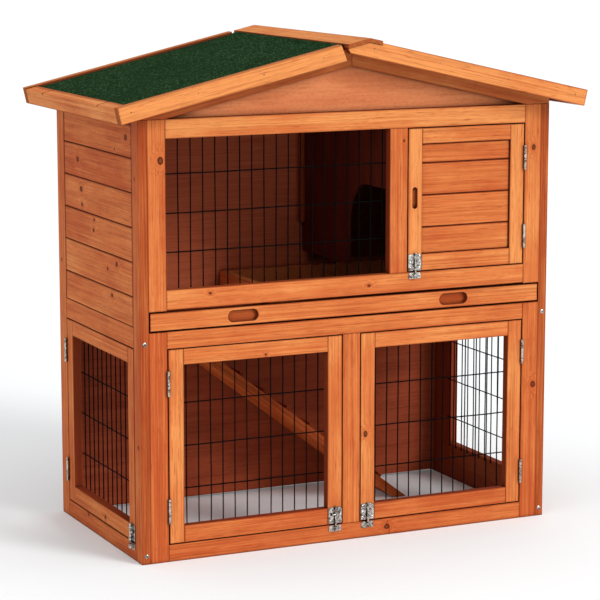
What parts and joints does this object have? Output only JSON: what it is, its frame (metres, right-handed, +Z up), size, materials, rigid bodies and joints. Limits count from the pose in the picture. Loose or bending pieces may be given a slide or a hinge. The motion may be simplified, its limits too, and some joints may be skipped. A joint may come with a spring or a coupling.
{
  "type": "rabbit hutch",
  "caption": "Two-storey wooden rabbit hutch with a felted gable roof that lifts, mesh doors, a solid nest door, a pull-out tray and an inner ramp.",
  "frame": {"origin": "centre of the footprint of the whole hutch, on the ground under the legs", "axes": "+X to the right seen from the front, +Y from the front to the back, +Z up"},
  "size_m": [0.984, 0.535, 0.9768],
  "materials": {
    "honey_wood": "honey-orange stained fir, satin",
    "inner_wood": "reddish-brown stained board, matt",
    "gable_ply": "fine-grained plywood, satin",
    "roof_felt": "dark green mineral felt, rough",
    "black_mesh": "black coated welded wire",
    "zinc_steel": "bright zinc plated pressed steel"
  },
  "bodies": {
    "cabinet": {"front_legs": "honey_wood", "back_legs": "honey_wood", "front_stiles": "honey_wood", "upper_front_rails": "honey_wood", "front_mullion": "honey_wood", "lower_front_rails": "honey_wood", "middle_post": "honey_wood", "floor_bearers": "inner_wood", "left_side_planks": "honey_wood", "right_side_planks": "honey_wood", "side_top_rails": "honey_wood", "side_mid_rails": "honey_wood", "side_bottom_rails": "honey_wood", "window_frame": "honey_wood", "window_mesh": "black_mesh", "upper_mesh": "black_mesh", "back_rails": "honey_wood", "back_panels": "inner_wood", "upper_floor": "inner_wood", "partition": "inner_wood", "partition_batten": "inner_wood", "gable_panels": "gable_ply", "gable_trim": "honey_wood", "ridge_beam": "honey_wood", "roof_panel_right": "gable_ply", "roof_felt_right": "roof_felt", "roof_rakes_right": "honey_wood", "roof_eave_right": "honey_wood", "ridge_cap": "honey_wood", "door_hinges_fixed": "zinc_steel", "roof_hinges_fixed": "zinc_steel", "latch_keepers": "zinc_steel", "frame_screws": "zinc_steel", "ramp_pivot": "zinc_steel"},
    "lid": {"roof_panel_left": "gable_ply", "roof_felt_left": "roof_felt", "roof_rakes_left": "honey_wood", "roof_eave_left": "honey_wood", "roof_hinges_lid": "zinc_steel"},
    "tray": {"tray_front": "honey_wood", "tray_floor": "inner_wood", "tray_rims": "inner_wood"},
    "ramp": {"ramp_board": "honey_wood", "ramp_cleats": "honey_wood"},
    "nest_door": {"nest_door_frame": "honey_wood", "nest_door_planks": "honey_wood", "nest_door_fittings": "zinc_steel"},
    "nest_latch": {"nest_bolt": "zinc_steel"},
    "lower_left_door": {"lower_left_door_frame": "honey_wood", "lower_left_door_mesh": "black_mesh", "lower_left_door_fittings": "zinc_steel"},
    "lower_left_latch": {"lower_left_bolt": "zinc_steel"},
    "lower_right_door": {"lower_right_door_frame": "honey_wood", "lower_right_door_mesh": "black_mesh", "lower_right_door_fittings": "zinc_steel"},
    "lower_right_latch": {"lower_right_bolt": "zinc_steel"},
    "side_door": {"side_door_frame": "honey_wood", "side_door_mesh": "black_mesh", "side_door_fittings": "zinc_steel"},
    "side_latch": {"side_bolt": "zinc_steel"}
  },
  "joints": [
    {"name": "nest_door_hinge", "type": "hinge", "parent": "cabinet", "child": "nest_door", "pos_m": [0.3798, -0.2181, 0.66], "axis": [0, 0, 1], "range_deg": [0, 110]},
    {"name": "lower_right_door_hinge", "type": "hinge", "parent": "cabinet", "child": "lower_right_door", "pos_m": [0.3798, -0.2181, 0.22], "axis": [0, 0, 1], "range_deg": [0, 110]},
    {"name": "lower_left_door_hinge", "type": "hinge", "parent": "cabinet", "child": "lower_left_door", "pos_m": [-0.3798, -0.2181, 0.22], "axis": [0, 0, -1], "range_deg": [0, 110]},
    {"name": "side_door_hinge", "type": "hinge", "parent": "cabinet", "child": "side_door", "pos_m": [-0.4386, 0.1863, 0.22], "axis": [0, 0, -1], "range_deg": [0, 110]},
    {"name": "lid_hinge", "type": "hinge", "parent": "cabinet", "child": "lid", "pos_m": [-0.0385, 0, 0.96], "axis": [0, 1, 0], "range_deg": [0, 80]},
    {"name": "tray_slide", "type": "slide", "parent": "cabinet", "child": "tray", "axis": [0, -1, 0], "range_m": [0, 0.38]},
    {"name": "ramp_hinge", "type": "hinge", "parent": "cabinet", "child": "ramp", "pos_m": [-0.315, 0.113, 0.427], "axis": [0, -1, 0], "range_deg": [0, 31]},
    {"name": "nest_bolt_slide", "type": "slide", "parent": "nest_door", "child": "nest_latch", "axis": [0, 0, -1], "range_m": [0, 0.009]},
    {"name": "lower_left_bolt_slide", "type": "slide", "parent": "lower_left_door", "child": "lower_left_latch", "axis": [0, 0, -1], "range_m": [0, 0.009]},
    {"name": "lower_right_bolt_slide", "type": "slide", "parent": "lower_right_door", "child": "lower_right_latch", "axis": [0, 0, -1], "range_m": [0, 0.009]},
    {"name": "side_bolt_slide", "type": "slide", "parent": "side_door", "child": "side_latch", "axis": [0, 0, -1], "range_m": [0, 0.009]}
  ]
}
